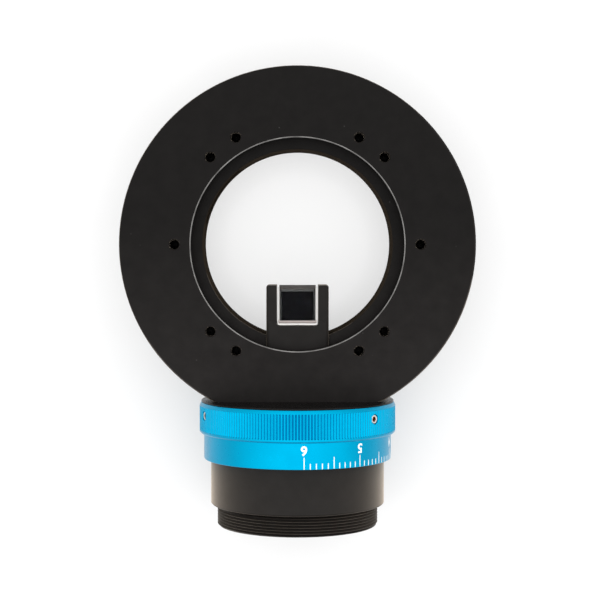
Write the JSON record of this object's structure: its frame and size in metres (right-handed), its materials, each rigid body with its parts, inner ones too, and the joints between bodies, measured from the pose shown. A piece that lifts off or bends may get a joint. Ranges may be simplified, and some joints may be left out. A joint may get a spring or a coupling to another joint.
{
  "type": "off-axis guider",
  "caption": "Off-axis guider for a telescope: round black body with a pick-off prism on a sliding stem and a blue helical focuser ending in a male thread for a guide camera.",
  "frame": {"origin": "centre of the telescope-side face, on the optical axis", "axes": "+Z along the optical axis towards the telescope; the focuser leaves the body along -Y; +X to the right when the telescope side is seen with the focuser at the bottom"},
  "size_m": [0.0916, 0.1191, 0.0513],
  "materials": {
    "black_anodised": "matte black anodised",
    "blue_anodised": "bright blue anodised, satin",
    "prism_glass": "polished faces with ground bevels",
    "adhesive": "cured optical cement",
    "steel": "plain stainless steel",
    "nylon": "natural nylon"
  },
  "bodies": {
    "housing": {"main_body": "black_anodised", "camera_adapter": "black_anodised", "focuser_base": "black_anodised", "camera_adapter_screw_1": "steel", "camera_adapter_screw_2": "steel", "camera_adapter_screw_3": "steel", "camera_adapter_screw_4": "steel", "camera_adapter_screw_5": "steel", "camera_adapter_screw_6": "steel", "base_screw_1": "steel", "base_screw_2": "steel", "base_screw_3": "steel", "base_screw_4": "steel", "stem_lock_screw_1": "steel", "stem_lock_screw_2": "steel", "stem_lock_tip_1": "nylon", "stem_lock_tip_2": "nylon"},
    "stem": {"prism_stem": "black_anodised", "prism": "prism_glass", "prism_adhesive_left": "adhesive", "prism_adhesive_right": "adhesive"},
    "ring": {"focus_ring": "blue_anodised", "ring_retaining_screw_1": "steel", "ring_retaining_screw_2": "steel", "ring_retaining_screw_3": "steel"},
    "tube": {"drawtube": "black_anodised", "guide_pin_1": "steel", "guide_pin_2": "steel", "guide_pin_3": "steel"}
  },
  "joints": [
    {"name": "ring_turn", "type": "hinge", "parent": "housing", "child": "ring", "pos_m": [0, -0.045, -0.00875], "axis": [0, 1, 0], "range_deg": [0, 216]},
    {"name": "drawtube_slide", "type": "slide", "parent": "housing", "child": "tube", "axis": [0, -1, 0], "range_m": [0, 0.006]},
    {"name": "prism_slide", "type": "slide", "parent": "housing", "child": "stem", "axis": [0, -1, 0], "range_m": [0, 0.01]}
  ],
  "couplings": [
    {"joint": "drawtube_slide", "follows": "ring_turn", "m_per_rad": 0.0015915}
  ]
}
